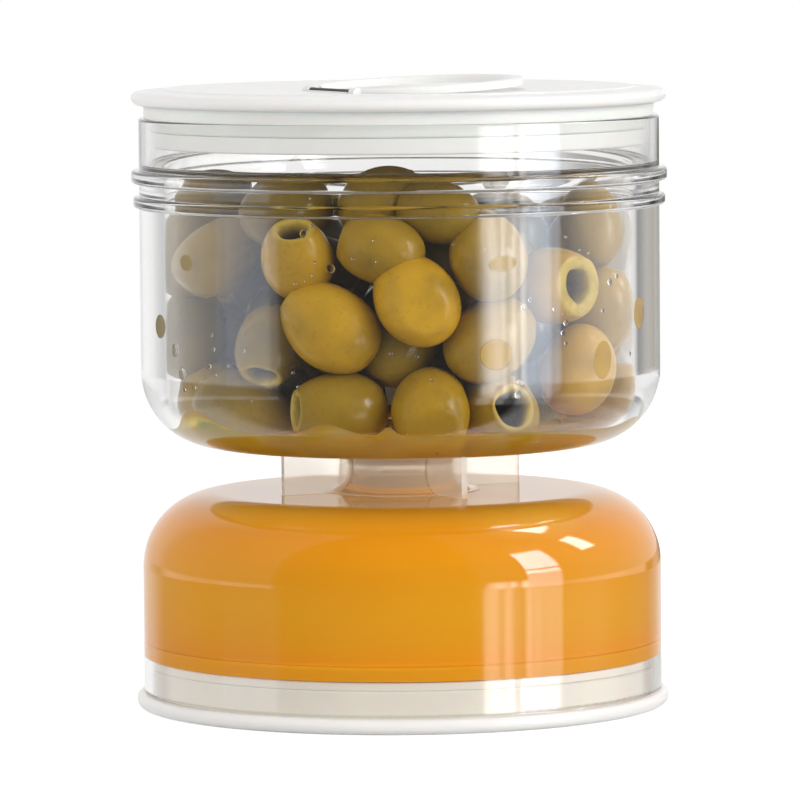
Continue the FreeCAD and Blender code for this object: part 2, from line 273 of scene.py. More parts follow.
class Shader(Nodes):
    """A material with a Principled BSDF. Its lengths are metres, its noise scales per metre."""

    def __init__(self, name):
        self.material = bpy.data.materials.new(name)
        self.material.use_nodes = True
        super().__init__(self.material.node_tree)
        self.principled = self.nodes["Principled BSDF"]
        self.surface = self.nodes["Material Output"].inputs["Surface"]

    def set(self, **sockets):
        for key, value in sockets.items():
            self.principled.inputs[key.replace("_", " ")].default_value = value

    def feed(self, key, socket):
        self.links.new(socket, self.principled.inputs[key])

    def rough(self, scale, low, high, detail=3, from_low=0.3, from_high=0.7):
        """Roughness that drifts between two values over the surface."""
        self.feed("Roughness", self.span(self.noise(scale, detail), low, high, from_low, from_high))

    def bump(self, scale, detail, strength, distance):
        made = self.node("ShaderNodeBump", {"Height": self.noise(scale, detail),
                                            "Strength": strength, "Distance": distance})
        self.feed("Normal", made.outputs["Normal"])

    def let_light_through(self, tint_and_shade=(1, 1, 1)):
        """Lamps reach what is behind the surface: shadow and diffuse rays pass it straight."""
        path = self.node("ShaderNodeLightPath")
        either = self.math("MAXIMUM", path.outputs["Is Shadow Ray"], path.outputs["Is Diffuse Ray"])
        clear = self.node("ShaderNodeBsdfTransparent", {"Color": (*tint_and_shade, 1)})
        mixed = self.mix_shader(either, self.principled.outputs[0], clear.outputs[0])
        self.links.new(mixed, self.surface)


def clear_plastic():
    s = Shader("clear_plastic")
    s.set(Base_Color=(0.992, 0.988, 0.982, 1), IOR=WALL_IOR, Transmission_Weight=1.0)
    s.rough(45, 0.0, 0.02, from_low=0.35, from_high=0.75)
    s.bump(9, 1, 0.05, 0.004)
    s.let_light_through((0.97, 0.975, 0.97))
    return s.material


def waist_plastic():
    """The same plastic at the waist, less clear: partly matt and warm beige."""
    s = Shader("waist_plastic")
    s.set(Base_Color=(1.0, 0.95, 0.87, 1), IOR=WALL_IOR, Transmission_Weight=0.72)
    s.rough(120, 0.04, 0.09, from_low=0.35, from_high=0.75)
    s.bump(60, 1, 0.05, 0.001)
    s.let_light_through((0.97, 0.96, 0.95))
    return s.material


def white_plastic(name, low, high):
    s = Shader(name)
    s.set(Specular_IOR_Level=0.5, Subsurface_Weight=0.1, Subsurface_Scale=0.002)
    s.feed("Base Color", s.mottled(30, low, high))
    s.rough(60, 0.28, 0.36)
    s.bump(35, 2, 0.03, 0.0008)
    return s.material


def silicone(name, low, high):
    s = Shader(name)
    s.set(Subsurface_Weight=0.35, Subsurface_Scale=0.003, Specular_IOR_Level=0.4)
    s.feed("Base Color", s.mottled(60, low, high))
    s.rough(90, 0.42, 0.58)
    s.bump(70, 2, 0.05, 0.0005)
    return s.material


def frosted_plastic():
    s = Shader("frosted_plastic")
    s.set(Transmission_Weight=0.35, IOR=WALL_IOR, Subsurface_Weight=0.2, Subsurface_Scale=0.003)
    s.feed("Base Color", s.mottled(80, (0.76, 0.74, 0.68), (0.84, 0.82, 0.77)))
    s.rough(260, 0.4, 0.6, detail=4)
    s.bump(1800, 3, 0.08, 0.0003)
    return s.material


# Near black, far darker than steel under any lamp: painted shade, so that the pin shows as the
# black slit at the ring's hinge.
def dark_steel():
    s = Shader("dark_steel")
    s.set(Metallic=0.6)
    s.feed("Base Color", s.mottled(500, (0.012, 0.012, 0.014), (0.03, 0.03, 0.032), detail=4))
    s.rough(700, 0.3, 0.5, detail=4)
    s.bump(2500, 2, 0.05, 0.0002)
    return s.material


def olive_skin():
    """Skin from green to golden by the attribute tint; where tint is below 0 the skin is darkened
    as painted shade, for the olives inside the pile. The attribute pit is 1 on the cut flesh and 2
    down the hole, where the colour goes near black as painted shade."""
    s = Shader("olive_skin")
    tint_and_shade = s.node("ShaderNodeAttribute", attribute_name="tint_and_shade").outputs["Fac"]
    pit_and_shade = s.node("ShaderNodeAttribute", attribute_name="pit_and_shade").outputs["Fac"]
    golden = s.ramp(s.noise(70, 3), [(0.3, (0.36, 0.205, 0.010)), (0.52, (0.60, 0.335, 0.013)),
                                     (0.72, (0.72, 0.405, 0.018))])
    green = s.ramp(s.noise(60, 3), [(0.3, (0.11, 0.078, 0.008)), (0.6, (0.22, 0.145, 0.012)),
                                    (0.8, (0.30, 0.20, 0.018))])
    dots = s.ramp(s.noise(900, 2), [(0.60, 1.0), (0.68, 0.86)])
    # Painted shade: a tint below 0 multiplies the skin down, to a quarter of its colour at -1.
    shade = s.span(tint_and_shade, 0.25, 1.0, -1.0, 0.0)
    deep = s.node("ShaderNodeCombineColor", dict.fromkeys(range(3), shade)).outputs[0]
    skin = s.mix(1.0, s.mix(tint_and_shade, green, golden), dots, "MULTIPLY")
    skin = s.mix(1.0, skin, deep, "MULTIPLY")
    flesh = s.mottled(300, (0.46, 0.32, 0.05), (0.60, 0.44, 0.09))
    # Down the hole the colour goes near black: painted shade of the hollow, not the flesh's own
    # colour.
    hollow = s.mottled(400, (0.02, 0.012, 0.010), (0.06, 0.034, 0.028))
    down = s.span(pit_and_shade, 0.0, 1.0, 1.0, 2.0)
    s.feed("Base Color", s.mix(down, s.mix(pit_and_shade, skin, flesh), hollow))
    s.set(Subsurface_Weight=0.1, Subsurface_Scale=0.0025, Subsurface_Radius=(1.0, 0.6, 0.15),
          Coat_Roughness=0.1)
    s.feed("Specular IOR Level", s.span(pit_and_shade, 0.28, 0.0, 0.9, 1.3))
    s.feed("Coat Weight", s.span(pit_and_shade, 0.24, 0.0, 0.6, 1.0))
    s.rough(150, 0.24, 0.42)
    s.bump(700, 4, 0.12, 0.0006)
    return s.material


BAND_LOW, BAND_HIGH = 0.018, 0.058             # metres between which the brine's colour changes
BAND_WANDER = 0.016                            # metres by which its bands go up and down


def brine():
    s = Shader("cloudy_brine")
    place = s.node("ShaderNodeSeparateXYZ", {0: s.node("ShaderNodeTexCoord").outputs["Object"]})
    height = s.math("MULTIPLY_ADD", s.noise(18, 3), BAND_WANDER, place.outputs["Z"])
    s.feed("Base Color", s.ramp(s.span(height, 0.0, 1.0, BAND_LOW, BAND_HIGH), [
        (0.0, (0.78, 0.305, 0.009)), (0.45, (0.79, 0.345, 0.009)), (0.86, (0.83, 0.30, 0.004)),
        (1.0, (0.88, 0.44, 0.05))]))
    s.set(IOR=1.33, Roughness=0.12, Specular_IOR_Level=0.05)
    return s.material


def pool_liquid():
    s = Shader("amber_liquid")
    s.set(Transmission_Weight=0.74, IOR=1.34, Roughness=0.02, Subsurface_Weight=1.0,
          Subsurface_Scale=0.004)
    s.feed("Base Color", s.ramp(s.noise(55, 1), [(0.46, (0.90, 0.61, 0.06)),
                                                 (0.54, (1.0, 0.72, 0.28))]))
    s.let_light_through((0.99, 0.90, 0.64))
    return s.material


def water_drop():
    s = Shader("water_drop")
    s.set(Base_Color=(1, 1, 1, 1), Transmission_Weight=1.0, IOR=1.33)
    s.rough(400, 0.0, 0.01, detail=2)
    s.let_light_through()
    return s.material


CLEAR, WAIST = clear_plastic(), waist_plastic()
SILICONE = silicone("silicone", (0.84, 0.83, 0.81), (0.89, 0.88, 0.86))
# The base's seal is the same silicone as the lid's; its warm colour is painted light, the amber
# glow of the brine above it.
BASE_SILICONE = silicone("silicone_with_painted_brine_light", (0.85, 0.77, 0.69), (0.89, 0.81, 0.73))
WHITE = white_plastic("white_plastic", (0.90, 0.895, 0.885), (0.92, 0.915, 0.905))
# The base's plug is the same white plastic as the lid's; its warm colour is painted amber light
# from the brine above it.
PLUG_WHITE = white_plastic("plug_plastic_with_painted_brine_light", (0.87, 0.79, 0.70), (0.90, 0.82, 0.73))
FROSTED, DARK, OLIVE = frosted_plastic(), dark_steel(), olive_skin()
BRINE, POOL, DROP = brine(), pool_liquid(), water_drop()

for node, material in {"base_cover": WHITE, "base_plug": PLUG_WHITE, "base_seal": BASE_SILICONE,
                       "top_lid_plug": WHITE, "top_lid_seal": SILICONE, "top_lid_cover": WHITE,
                       "pull_ring": WHITE, "pull_ring_pin": DARK, "strainer": FROSTED}.items():
    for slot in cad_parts[node].material_slots:
        slot.material = material

# -------- clear bowls and waist
# One welded piece: it is made whole and then parted at the welds, so that light passes them.
LOWER_RIM, LOWER_END, UPPER_END, UPPER_FLOOR, UPPER_RIM = 3.7, 52.2, 63.6, 67.6, 143.3
CEILING = LOWER_END - 4.0
MOUTH_RADIUS, MOUTH_DEPTH = 60.9, 12.0
SHOULDER = LOWER_RIM + MOUTH_DEPTH
OUTER_CORNER, INNER_CORNER = 18.0, 12.0
TUBE_RADIUS, BORE_RADIUS = 13.5, 11.0
FLARE, FLARE_RADIUS, FLARE_EDGE = 5.45, 19.0, 0.2
RIB_FOOT, RIB_REACH, RIB_THICKNESS = TUBE_RADIUS - 1.2, 32.4, 1.5
RIB_SUNK = 0.5                 # how far a rib reaches into the bowls
BEADS = ((121.7, 124.3, 1.4), (127.6, 130.7, 1.85))            # low, high, how far it stands out
ROOT_ROUND, BEAD_ROUND, EDGE_ROUND, SHOULDER_ROUND, BORE_ROUND = 0.3, 0.7, 0.6, 0.9, 0.4
JAR_SIDES = 240
WELD_SIDE = 0.01               # how far inside the waist a face still counts as a bowl's
BOX_FACES = ((0, 1, 3, 2), (4, 6, 7, 5), (0, 4, 5, 1), (2, 3, 7, 6), (0, 2, 6, 4), (1, 5, 7, 3))


def jar_corners():
    """Outline of both bowls and the waist: up the outside and down the inside."""
    corners = [(BOWL_RADIUS, LOWER_RIM, EDGE_ROUND), (BOWL_RADIUS, LOWER_END, OUTER_CORNER),
               (FLARE_RADIUS, LOWER_END, 0), (FLARE_RADIUS, LOWER_END + FLARE_EDGE, 0),
               (TUBE_RADIUS, LOWER_END + FLARE_EDGE, FLARE),
               (TUBE_RADIUS, UPPER_END - FLARE_EDGE, FLARE),
               (FLARE_RADIUS, UPPER_END - FLARE_EDGE, 0), (FLARE_RADIUS, UPPER_END, 0),
               (BOWL_RADIUS, UPPER_END, OUTER_CORNER)]
    for low, high, proud in BEADS:
        corners += [(BOWL_RADIUS, low, ROOT_ROUND), (BOWL_RADIUS + proud, low, BEAD_ROUND),
                    (BOWL_RADIUS + proud, high, BEAD_ROUND), (BOWL_RADIUS, high, ROOT_ROUND)]
    return corners + [
        (BOWL_RADIUS, UPPER_RIM, EDGE_ROUND), (MOUTH_RADIUS, UPPER_RIM, EDGE_ROUND),
        (MOUTH_RADIUS, UPPER_RIM - MOUTH_DEPTH, SHOULDER_ROUND),
        (INNER_RADIUS, UPPER_RIM - MOUTH_DEPTH, SHOULDER_ROUND),
        (INNER_RADIUS, UPPER_FLOOR, INNER_CORNER), (BORE_RADIUS, UPPER_FLOOR, BORE_ROUND),
        (BORE_RADIUS, CEILING, BORE_ROUND), (INNER_RADIUS, CEILING, INNER_CORNER),
        (INNER_RADIUS, SHOULDER, SHOULDER_ROUND), (MOUTH_RADIUS, SHOULDER, SHOULDER_ROUND),
        (MOUTH_RADIUS, LOWER_RIM, EDGE_ROUND)]


def jar_ribs():
    """The four plates of the waist."""
    verts, faces = [], []
    for quarter in range(4):
        first = len(verts)
        for x in (RIB_FOOT, RIB_REACH):
            for y in (-RIB_THICKNESS / 2, RIB_THICKNESS / 2):
                for z in (LOWER_END - RIB_SUNK, UPPER_END + RIB_SUNK):
                    verts.append((*rotated(x, y, quarter * math.pi / 2), z))
        faces += [tuple(first + i for i in face) for face in BOX_FACES]
    return add_mesh("ribs", verts, faces, CLEAR)


def clear_jar():
    jar = lathe("jar_whole", jar_corners(), CLEAR, around=JAR_SIDES)
    ribs = jar_ribs()
    union = jar.modifiers.new("ribs", "BOOLEAN")
    union.operation, union.solver, union.object = "UNION", "EXACT", ribs
    bpy.context.view_layer.update()
    depsgraph = bpy.context.evaluated_depsgraph_get()
    whole = bpy.data.meshes.new_from_object(jar.evaluated_get(depsgraph))
    bpy.data.objects.remove(ribs)
    bpy.data.objects.remove(jar)
    lower, upper = (LOWER_END + WELD_SIDE) * MM, (UPPER_END - WELD_SIDE) * MM
    for name, solid, material, keep in (
            ("upper_bowl_clear", "upper_bowl", CLEAR, lambda z: z >= upper),
            ("lower_bowl_clear", "lower_bowl", CLEAR, lambda z: z <= lower),
            ("waist_clear", "neck_core", WAIST, lambda z: lower < z < upper)):
        bm = bmesh.new()
        bm.from_mesh(whole)
        others = [face for face in bm.faces if not keep(face.calc_center_median().z)]
        bmesh.ops.delete(bm, geom=others, context="FACES")
        mesh = bpy.data.meshes.new(name)
        bm.to_mesh(mesh)
        bm.free()
        smooth(mesh)
        mesh.materials.clear()
        mesh.materials.append(material)
        obj = bpy.data.objects.new(name, mesh)
        scene.collection.objects.link(obj)
        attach(obj, "jar")
        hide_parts(solid)


clear_jar()

# -------- brine and pool
WET = 0.05                     # how far a liquid reaches into the wall it wets
LIQUID_ANGLE = 50              # degrees; SMOOTH_ANGLE of the liquids
BRINE_LEVEL, PLUG_TOP = 52.0, 12.3
POOL_LEVEL, POOL_INSIDE = 71.4, 18.4
# Where the liquid climbs between olives and wall: degrees right of the camera, half width in
# degrees, rise
MENISCUS = ((-57, 9, 4.4), (-18, 6, 2.4), (-3, 1.8, 2.0), (75, 8, 1.8), (120, 9, 3.0),
            (165, 7, 2.2), (-150, 9, 2.8), (-105, 8, 2.0))
# From the wetted edge: how far inward, how far down, and further down by which share of the rise
POOL_EDGE = ((0.5, 0.25, 0.2), (1.6, 0.35, 0.55))


def brine_body():
    """Brine from the base plug up into the bore."""
    made = lathe("brine", [
        (0, PLUG_TOP + WET, 0), (MOUTH_RADIUS + WET, PLUG_TOP + WET, 0),
        (MOUTH_RADIUS + WET, SHOULDER + WET, SHOULDER_ROUND + WET),
        (INNER_RADIUS + WET, SHOULDER + WET, SHOULDER_ROUND - WET),
        (INNER_RADIUS + WET, CEILING + WET, INNER_CORNER + WET),
        (BORE_RADIUS + WET, CEILING + WET, BORE_ROUND),
        (BORE_RADIUS + WET, BRINE_LEVEL + 0.6, 0.3), (BORE_RADIUS - 1.5, BRINE_LEVEL, 0.5),
        (0, BRINE_LEVEL, 0)], BRINE, closed=False, smooth_angle=LIQUID_ANGLE)
    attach(made, "jar")


def pool_body(around=288, arc=12):
    """Ring of liquid left on the upper bowl's floor, which climbs the wall in places."""
    corner_z, grown = UPPER_FLOOR + INNER_CORNER, INNER_CORNER + WET
    verts, faces = [], []
    for k in range(around):
        turn = 360.0 * k / around
        rise = sum(tall * math.exp(-((((turn - middle + 180) % 360) - 180) / wide) ** 2)
                   for middle, wide, tall in MENISCUS)
        level = math.asin((corner_z - POOL_LEVEL - rise) / INNER_CORNER)
        profile = [(POOL_INSIDE, UPPER_FLOOR - WET)]
        for j in range(arc + 1):
            a = math.pi / 2 + (level - math.pi / 2) * j / arc
            profile.append((INNER_RADIUS - INNER_CORNER + grown * math.cos(a),
                            corner_z - grown * math.sin(a)))
        edge_r, edge_z = profile[-1]
        profile += [(edge_r - inward, edge_z - down - share * rise)
                    for inward, down, share in POOL_EDGE]
        profile += [(edge_r - 4.0, POOL_LEVEL - 0.38 + 0.15 * rise),
                    (POOL_INSIDE + 0.6, POOL_LEVEL - 0.45), (POOL_INSIDE, POOL_LEVEL - 1.4)]
        verts += [polar(r, CAM_TURN + math.radians(turn), z) for r, z in profile]
    rows = len(profile)
    for k in range(around):
        this, other = k * rows, (k + 1) % around * rows
        for row in range(rows):
            above = (row + 1) % rows
            faces.append((this + row, other + row, other + above, this + above))
    made = add_mesh("residual_liquid", verts, faces, POOL, LIQUID_ANGLE)
    face_outward(made)
    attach(made, "jar")


brine_body()
pool_body()

# -------- olives
rng = np.random.default_rng(7)
PILE_TOP = 122.5               # height that the unseen olives stay under
TOPMOST_CENTRE = PILE_TOP - 6  # an unseen olive whose centre ends up higher is left out
FRONT = 18.0                   # before the axis: from here the outer olives are all seen ones
FARTHEST_SLIDE = 3.5           # how far a seen olive may give way along the line of sight
INNER_RINGS = 40.0             # rings with a smaller radius are inner ones, whose olives are darkened with painted shade
INNER_REACH = 31.0             # the olives of the inner rings keep this near to the axis
ROOM = 17.0                    # least distance at which an unseen olive starts from a seen one
# Heights at which the unseen olives start, and their rings: radius and number of olives
LEVELS = ((77.5, ((47.5, 16),)),
          (92.0, ((47.5, 16), (29.5, 8))),
          (105.5, ((47.5, 16), (29.5, 8), (9.0, 3))),
          (115.0, ((47.5, 16), (29.5, 7), (9.0, 3))))
SETTLE_STEPS = 260
SINK_STEPS, SINK = 200, 0.12   # steps in which the unseen olives sink, and by how much in each
# Share of an overlap that one step mends, of a corner's inset that counts, of the way out of the
# core that one step goes, and of the pushes on its three balls that moves an olive
PUSH_SHARE, CORNER_SHARE, CORE_SHARE, MOVE_SHARE = 0.30, 0.55, 0.8, 0.5
BALL_SPREAD, END_BALL = 0.62, 0.93             # place and size of an olive's outer balls
TWIST_DRAG = 20                # the larger, the less a push turns an olive
TINY = 1e-9                    # added to a distance, so that nothing is divided by zero
WALL_GAP, FLOOR_GAP = 0.35, 0.4
# The middle stays free for the strainer: below each height, out to each radius
WIDE_CORE_TOP, WIDE_CORE = 80, 34.0
NARROW_CORE_TOP, NARROW_CORE = 97, 22.5
SKIN_GAP = 0.12                # between an olive's skin and the wall or floor

FIRST_SEED = 100
OLIVE_ANGLE = 70               # degrees; SMOOTH_ANGLE of the olives
OLIVE_SIDES, OLIVE_ROWS = 44, 30.0
LAST_ROW = 26                  # the skin's last row before the hole, unless the cut comes sooner
BLUNTNESS = 0.94               # below 1 the ends are blunter than an ellipsoid's
STEM_END, DENT_DEPTH, DENT_RADIUS = 0.972, 0.55, 1.5   # dent at the end across from the hole
NARROW_CUT, WIDE_CUT = 1.1, 2.8                # cut flesh round the hole
WIDE_OLIVE = 13                                # which of the seen olives has the wide one
HOLE_DEPTH, HOLE_END = 10.0, 10.4              # down to the last ring and to the point
HOLE_ROW, HOLE_TAPER, HOLE_PAINTED_SHADE = 1.6, 0.03, 0.45     # depth, narrowing and pit by row; pit above 1 is painted shade down the hole

# Olives seen at the front: centre pixel, distance from the bowls' axis, angle of the hole end in
# the picture (degrees, 0 right, 90 up), its lean towards the viewer (degrees), length, width,
# tint (0 green, 1 golden), radius of the hole
SEEN = [
    (223, 254, 47.5, 43, -20, 23.5, 17.0, 0.20, 3.1),
    (297, 257, 46.5, 97, 33, 21.5, 16.6, 0.60, 3.6),
    (380, 249, 43.5, 165, -12, 21.4, 16.4, 0.42, 3.1),
    (416, 299, 48.0, 120, -38, 24.5, 19.3, 0.95, 3.1),
    (330, 326, 46.0, 140, -14, 25.5, 19.4, 0.72, 3.1),
    (270, 346, 46.5, 256, 34, 21.5, 16.0, 0.10, 3.6),
    (190, 330, 47.0, 80, -30, 24.0, 18.0, 0.00, 3.1),
    (246, 408, 46.5, 155, -25, 25.5, 18.0, 0.22, 3.1),
    (338, 407, 45.5, 178, 18, 24.0, 16.5, 0.28, 3.4),
    (431, 407, 46.0, 85, -65, 23.0, 18.4, 0.55, 3.1),
    (499, 411, 45.0, 38, 66, 22.0, 18.5, 0.40, 4.0),
    (490, 339, 47.0, 40, -25, 23.5, 18.7, 0.32, 3.1),
    (488, 256, 47.0, 100, -35, 22.5, 18.0, 0.36, 3.1),
    (555, 285, 48.0, 5, 41, 21.0, 18.5, 0.80, 4.2),
    (577, 365, 47.5, 72, -35, 22.5, 16.6, 0.90, 3.1),
    (591, 224, 45.5, 92, -25, 22.0, 15.6, 0.30, 3.1),
    (400, 343, 36.0, 60, -20, 22.0, 17.0, 0.10, 3.1),
    (452, 262, 36.0, 85, -20, 23.0, 17.0, 0.00, 3.1),
    (436, 212, 40.0, 170, -20, 21.0, 14.5, 0.15, 3.1),
    (382, 202, 36.0, 20, -15, 21.5, 15.5, 0.15, 3.1),
    (288, 211, 42.0, 10, -20, 23.0, 16.5, 0.10, 3.1),
    (214, 205, 43.0, 5, -15, 21.5, 15.6, 0.10, 3.1),
    (588, 233, 36.0, 20, -20, 21.0, 15.0, 0.40, 3.1),
    (613, 400, 46.0, 200, -20, 23.5, 18.0, 0.90, 3.1),
    (185, 250, 44.0, 85, -30, 23.0, 17.0, 0.20, 3.1),
    (601, 306, 48.5, 80, -10, 22.0, 17.4, 0.55, 3.1),
]


def olive_mesh(length, width, seed, hole, cut):
    """Vertices (hole end along +Z, centred), faces and pit values of one olive."""
    local = np.random.default_rng(seed)
    taper = local.uniform(0.03, 0.10)
    profile = []                               # radius, height, pit
    for k in range(1, LAST_ROW + 1):
        t = math.pi * k / OLIVE_ROWS
        radius = width / 2 * math.sin(t) ** BLUNTNESS * (1 + taper * math.cos(t))
        if t > 2 and radius < hole + cut:
            break
        profile.append((radius, -length / 2 * math.cos(t), 0.0))
    lip_r, lip_z, _ = profile[-1]
    mid = (lip_r + hole) / 2
    rim_pit, mid_pit = (0.25, 0.7) if cut < WIDE_CUT else (0.9, 1.0)
    profile += [(mid + cut * 0.41, lip_z + 0.42, rim_pit), (mid, lip_z + 0.52, mid_pit),
                (hole + 0.12, lip_z + 0.28, 1.0), (hole - 0.05, lip_z - 0.35, 1.0)]
    # Rows down the hole: pit climbs from 1 to 2, painted shade that darkens the hole.
    for k in range(1, 6):
        profile.append((hole * (1 - HOLE_TAPER * k), lip_z - 0.35 - HOLE_ROW * k,
                        1.0 + min(1.0, HOLE_PAINTED_SHADE * k)))
    profile.append((hole * 0.5, lip_z - HOLE_DEPTH, 2.0))
    phase = local.uniform(0, 2 * math.pi, 6)
    size = local.uniform(0.006, 0.016, 3)
    verts, pits_and_shades = [(0.0, 0.0, -length / 2 * STEM_END)], [0.0]
    for radius, height, pit_and_shade in profile:
        share = (height / length + 0.5) * math.pi
        dent = DENT_DEPTH * math.exp(-(radius / DENT_RADIUS) ** 2) if height < 0 else 0.0
        for k in range(OLIVE_SIDES):
            a = 2 * math.pi * k / OLIVE_SIDES
            if pit_and_shade > 0.5:
                lump = 1 + 0.05 * math.sin(3 * a + phase[4]) + 0.03 * math.sin(5 * a + phase[5])
            else:
                lump = (1 + size[0] * math.sin(2 * a + phase[0])
                        + size[1] * math.sin(3 * a + phase[1] + 2 * share)
                        + size[2] * math.sin(a + phase[2]) * math.sin(2 * share + phase[3]))
            verts.append(polar(radius * lump, a, height + dent))
            pits_and_shades.append(pit_and_shade)
    verts.append((0.0, 0.0, lip_z - HOLE_END))
    pits_and_shades.append(2.0)
    faces = []
    last = 1 + (len(profile) - 1) * OLIVE_SIDES
    for k in range(OLIVE_SIDES):
        j = (k + 1) % OLIVE_SIDES
        faces.append((0, 1 + j, 1 + k))
        for a in range(1, last, OLIVE_SIDES):
            b = a + OLIVE_SIDES
            faces.append((a + k, a + j, b + j, b + k))
        faces.append((last + k, last + j, len(verts) - 1))
    return np.array(verts), faces, np.array(pits_and_shades)


def corner_inset(height, least=0.0):
    """How far the rounded corner of the upper bowl's floor stands in at a height. Heights less
    than least above the floor count as that."""
    drop = np.clip(INNER_CORNER - (height - UPPER_FLOOR), 0, INNER_CORNER - least)
    return INNER_CORNER - np.sqrt(INNER_CORNER ** 2 - drop ** 2)


def seen_olives():
    """Centre, direction of the hole end, (length, width), tint and hole of each seen olive."""
    made = []
    for px, py, radius, angle, lean, length, width, tint_and_shade, hole in SEEN:
        a, e = math.radians(angle), math.radians(lean)
        axis = (cam_right * math.cos(a) * math.cos(e) + UP * math.sin(a) * math.cos(e)
                + toward_camera * math.sin(e))
        made.append((from_photo(px, py, radius), axis, (length, width), tint_and_shade, hole))
    return made


def unseen_olives(seen):
    """The same of the others, which start in rings where the seen ones leave room."""
    made = []
    for level, (height, rings) in enumerate(LEVELS):
        for radius, count in rings:
            outer = radius > INNER_RINGS
            for k in range(count):
                a = 2 * math.pi * (k + 0.5 * (level % 2)) / count + rng.uniform(-0.08, 0.08)
                place = Vector(polar(radius, a, height + rng.uniform(-2, 2)))
                if outer and place.dot(toward_camera) >= FRONT:
                    continue
                if any((place - olive[0]).length < ROOM for olive in seen):
                    continue
                axis = Vector(rng.normal(size=3)).normalized()
                if place.dot(toward_camera) > 0 and axis.dot(toward_camera) > 0:
                    axis = -axis               # its hole doesn't show
                size = (rng.uniform(21.5, 24.5), rng.uniform(16.5, 18.5))
                # Inner olives get a tint below 0: painted shade for lying deep in the pile.
                tint_and_shade = rng.uniform(0.0, 0.4) if outer else -rng.uniform(0.5, 0.9)
                made.append((place, axis, size, tint_and_shade, rng.uniform(2.9, 3.6)))
    return made


def settle(centres, axes, sizes, sight):
    """Press the olives apart, each of them taken as three balls in a row. The seen ones come
    first and only slide away along their lines of sight."""
    count, fixed = len(centres), len(sight)
    shown, slid = centres[:fixed].copy(), np.zeros(fixed)
    inner = np.linalg.norm(centres[fixed:, :2], axis=1) < INNER_RINGS
    spread = (sizes[:, 0] - sizes[:, 1]) * BALL_SPREAD
    along = np.array([-1.0, 0.0, 1.0])[:, None] * spread[:, None, None]
    half = sizes[:, 1] / 2
    ball = np.stack([half * END_BALL, half, half * END_BALL], 1).ravel()
    owner = np.repeat(np.arange(count), 3)
    reach = ball[:, None] + ball[None, :]
    apart = owner[:, None] != owner[None, :]
    for step in range(SETTLE_STEPS):
        points = (centres[:, None] + axes[:, None] * along).reshape(-1, 3)
        gap = points[:, None] - points[None, :]
        far = np.linalg.norm(gap, axis=2) + TINY
        press = np.where(apart, np.maximum(reach - far, 0), 0)
        push = (gap / far[..., None] * press[..., None]).sum(1) * PUSH_SHARE
        flat = np.linalg.norm(points[:, :2], axis=1) + TINY
        outward, height = points[:, :2] / flat[:, None], points[:, 2]
        limit = INNER_RADIUS - WALL_GAP - ball - corner_inset(height) * CORNER_SHARE
        push[:, :2] -= outward * np.maximum(flat - limit, 0)[:, None]
        push[:, 2] += np.maximum(UPPER_FLOOR + FLOOR_GAP + ball - height, 0)
        push[:, 2] -= np.maximum(height + ball - PILE_TOP, 0)
        core = np.where(height < WIDE_CORE_TOP + ball, WIDE_CORE, NARROW_CORE)
        hollow = np.maximum(core + ball - flat, 0) * (height < NARROW_CORE_TOP + ball)
        push[:, :2] += outward * hollow[:, None] * CORE_SHARE
        moves = push.reshape(count, 3, 3)
        shift = moves.sum(1) * MOVE_SHARE
        twist = (np.cross(axes * spread[:, None], moves[:, 2] - moves[:, 0])
                 / (2 * spread[:, None] ** 2 + TWIST_DRAG))
        if step < SINK_STEPS:
            shift[fixed:, 2] -= SINK
        slid = np.clip(slid + (shift[:fixed] * sight).sum(1), 0.0, FARTHEST_SLIDE)
        centres[:fixed] = shown + slid[:, None] * sight
        centres[fixed:] += shift[fixed:]
        away = np.linalg.norm(centres[fixed:, :2], axis=1)
        held = np.where(inner & (away > INNER_REACH), INNER_REACH / away, 1.0)
        centres[fixed:, :2] *= held[:, None]
        axes[fixed:] += np.cross(twist[fixed:], axes[fixed:])
        axes /= np.linalg.norm(axes, axis=1, keepdims=True)


def place_olives():
    """The seen olives keep their place in the picture, the others fill the bowl round them."""
    seen = seen_olives()
    olives = seen + unseen_olives(seen)
    centres, axes, sizes = (np.array([olive[i] for olive in olives]) for i in range(3))
    settle(centres, axes, sizes, np.array([pixel_ray(px, py) for px, py, *_ in SEEN]))
    rest = [i for i in range(len(seen), len(olives)) if centres[i][2] < TOPMOST_CENTRE]
    for name, indices in (("olives_front", range(len(seen))), ("olives_rest", rest)):
        verts, faces, tints_and_shades, pits_and_shades = [], [], [], []
        for i in indices:
            _, _, (length, width), tint_and_shade, hole = olives[i]
            cut = WIDE_CUT if i == WIDE_OLIVE else NARROW_CUT
            points, quads, pit_and_shade = olive_mesh(length, width, FIRST_SEED + i, hole, cut)
            turned = np.array(Vector(axes[i]).to_track_quat("Z", "Y").to_matrix())
            points = points @ turned.T + np.array(Vector(centres[i]))
            limit = INNER_RADIUS - SKIN_GAP - corner_inset(points[:, 2], 0.1)
            flat = np.linalg.norm(points[:, :2], axis=1)
            points[:, :2] *= np.minimum(1.0, limit / flat)[:, None]
            points[:, 2] = np.maximum(points[:, 2], UPPER_FLOOR + SKIN_GAP)
            first = len(verts)
            verts += [tuple(p) for p in points]
            faces += [tuple(first + v for v in quad) for quad in quads]
            tints_and_shades += [tint_and_shade] * len(points)
            pits_and_shades += list(pit_and_shade)
        obj = add_mesh(name, verts, faces, OLIVE, smooth_angle=OLIVE_ANGLE)
        point_values(obj, "tint_and_shade", tints_and_shades)
        point_values(obj, "pit_and_shade", pits_and_shades)
        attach(obj, "jar")


place_olives()

